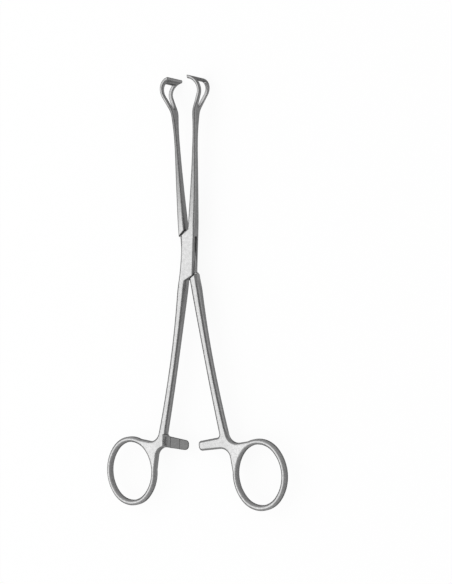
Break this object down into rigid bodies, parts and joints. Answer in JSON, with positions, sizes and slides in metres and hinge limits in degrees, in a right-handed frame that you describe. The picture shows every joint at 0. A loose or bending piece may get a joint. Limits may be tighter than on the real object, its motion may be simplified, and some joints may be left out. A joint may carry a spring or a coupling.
{
  "type": "babcock forceps",
  "caption": "Babcock tissue forceps: crossed halves in a box lock, finger rings with ratchet arms, and fenestrated hooked jaws that hold tissue without teeth.",
  "frame": {"origin": "where the pivot axis meets the underside of the box lock", "axes": "+Y from the pivot to the jaw tips, +Z along the pivot axis from the underside to the front face, +X to the tongue half's finger ring"},
  "size_m": [0.0958, 0.1979, 0.0133],
  "materials": {
    "female_half": "satin",
    "male_half": "satin",
    "pivot_pin": "satin"
  },
  "bodies": {
    "box_half": {"female_half": "female_half", "pivot_pin": "pivot_pin"},
    "tongue_half": {"male_half": "male_half"}
  },
  "joints": [
    {"name": "lock_hinge", "type": "hinge", "parent": "box_half", "child": "tongue_half", "pos_m": [0, 0, 0.00235], "axis": [0, 0, 1], "range_deg": [-7.2, 53]}
  ]
}
